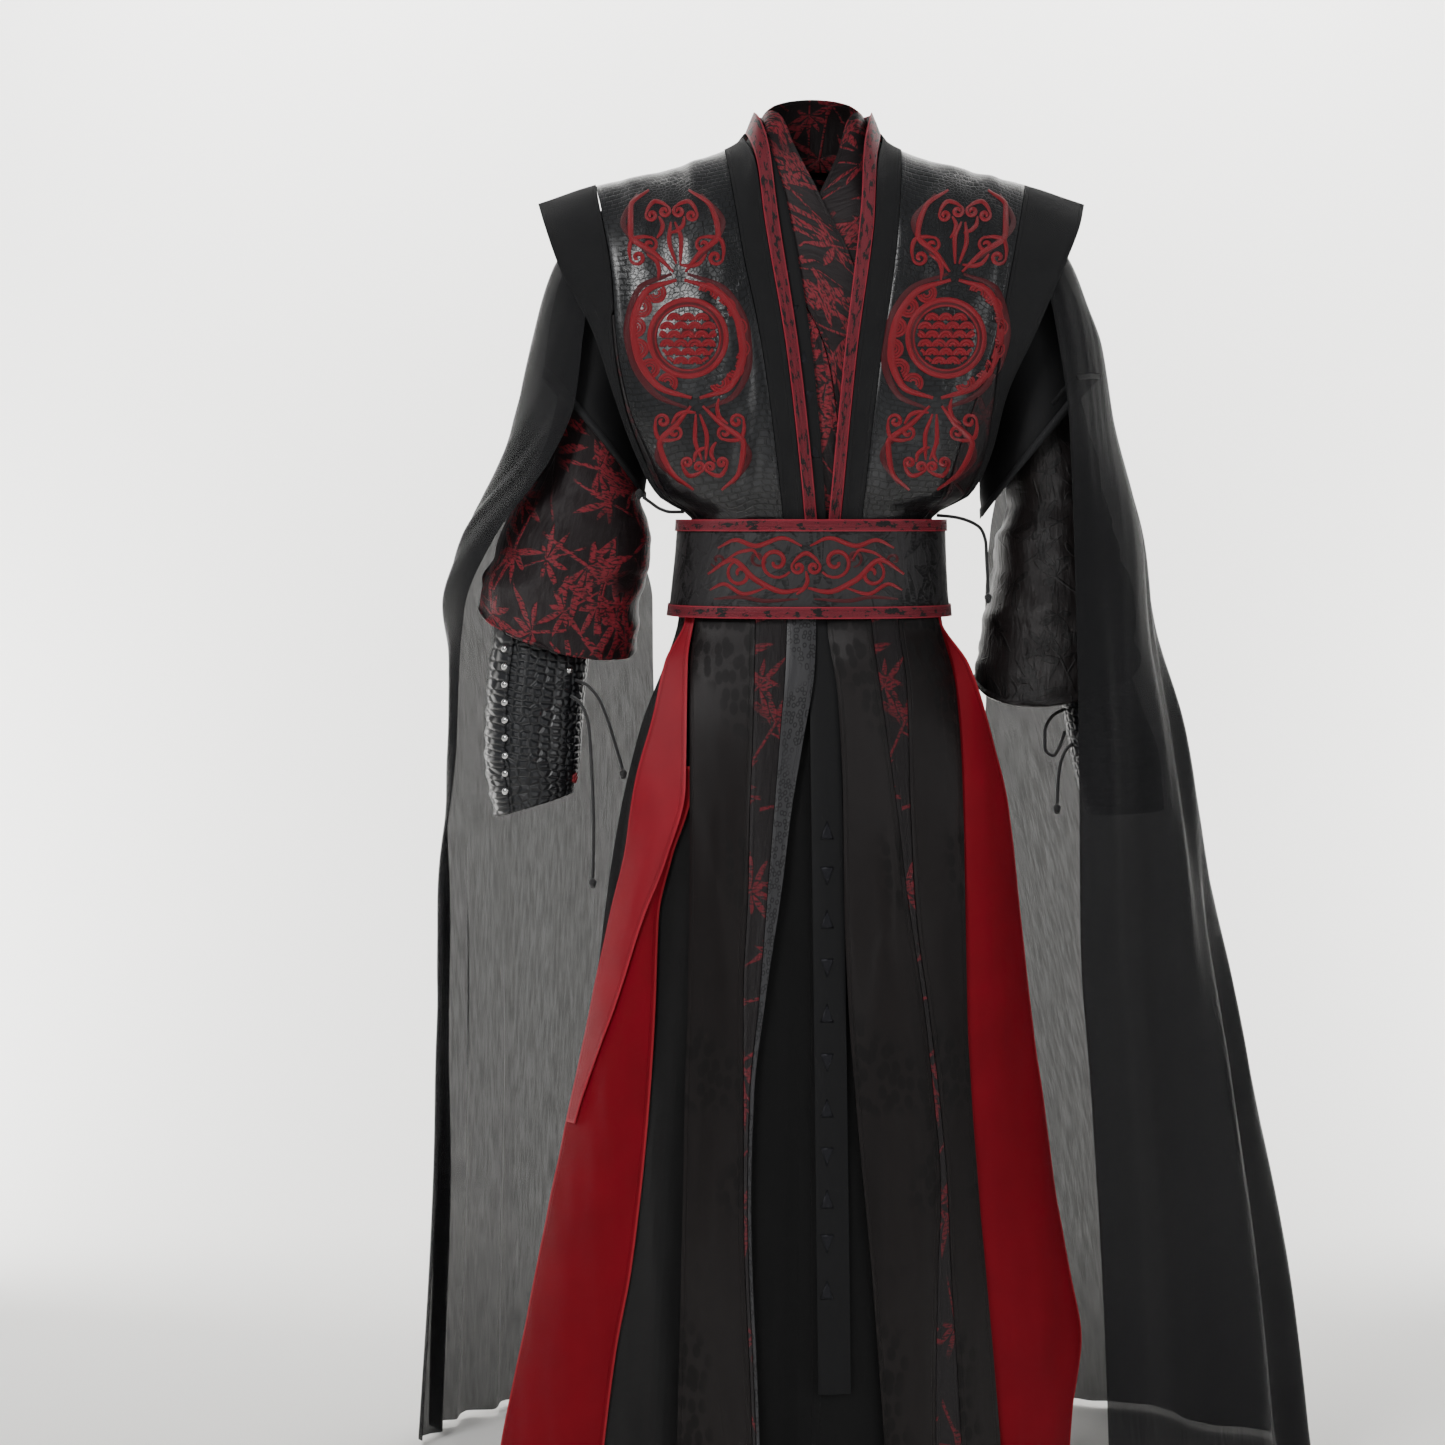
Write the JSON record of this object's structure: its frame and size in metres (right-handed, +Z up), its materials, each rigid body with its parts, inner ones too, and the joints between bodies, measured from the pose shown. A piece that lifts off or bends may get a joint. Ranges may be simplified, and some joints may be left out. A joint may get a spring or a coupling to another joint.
{
  "type": "hanfu",
  "caption": "Worn hanfu set: crossed inner robe, sheer open gown, sleeveless vest, wide belt, panelled skirt and laced bracers, hollow as on a figure.",
  "frame": {"origin": "middle of the neck between the shoulders, where the set hangs on its wearer", "axes": "+Z up, -Y the front of the wearer, +X the wearer's left"},
  "size_m": [0.9916, 0.5464, 1.5068],
  "materials": {
    "brocade": "black jacquard with a crimson leaf weave, satin sheen",
    "crimson": "crimson satin brocade",
    "trim": "crimson woven trim",
    "satin": "charcoal satin",
    "matte": "matte black cloth",
    "sheer": "sheer black chiffon",
    "leather": "glossy embossed black leathercloth",
    "print": "black cloth with a grey figured pattern",
    "cord": "black round cord"
  },
  "bodies": {
    "root": {"belt": "brocade", "belt_trim_bottom": "trim", "belt_trim_top": "trim", "bracer_left": "leather", "bracer_right": "leather", "gown_back": "sheer", "gown_cap_left": "sheer", "gown_cap_right": "sheer", "gown_collar": "sheer", "gown_drape_left": "sheer", "gown_drape_right": "sheer", "gown_front_band": "sheer", "gown_front_left": "sheer", "gown_front_right": "sheer", "inner_back": "brocade", "inner_collar": "brocade", "inner_front_left": "brocade", "inner_front_right": "brocade", "inner_sleeve_left": "brocade", "inner_sleeve_right": "brocade", "knot_left_lower": "cord", "knot_left_upper": "cord", "knot_right_tail": "cord", "knot_tie_left": "cord", "knot_tie_right": "cord", "lace_left_lower": "cord", "lace_left_upper": "cord", "lace_right_loop": "cord", "lace_right_tail": "cord", "skirt_back_left": "satin", "skirt_back_right": "satin", "skirt_brocade_left": "brocade", "skirt_brocade_right": "brocade", "skirt_print_left": "print", "skirt_red_left": "crimson", "skirt_red_left_flap": "crimson", "skirt_red_right": "crimson", "skirt_satin_left": "satin", "skirt_satin_right_inner": "satin", "skirt_satin_right_outer": "satin", "tie_left": "cord", "tie_right": "cord", "under_front_left": "matte", "under_front_right": "matte", "under_side_left": "matte", "under_side_right": "matte", "vest_back": "leather", "vest_collar": "matte", "vest_collar_trim": "trim", "vest_front_left": "leather", "vest_front_right": "leather", "vest_side_left": "brocade", "vest_side_right": "brocade", "vest_wing_left": "matte", "vest_wing_right": "matte"}
  },
  "joints": []
}
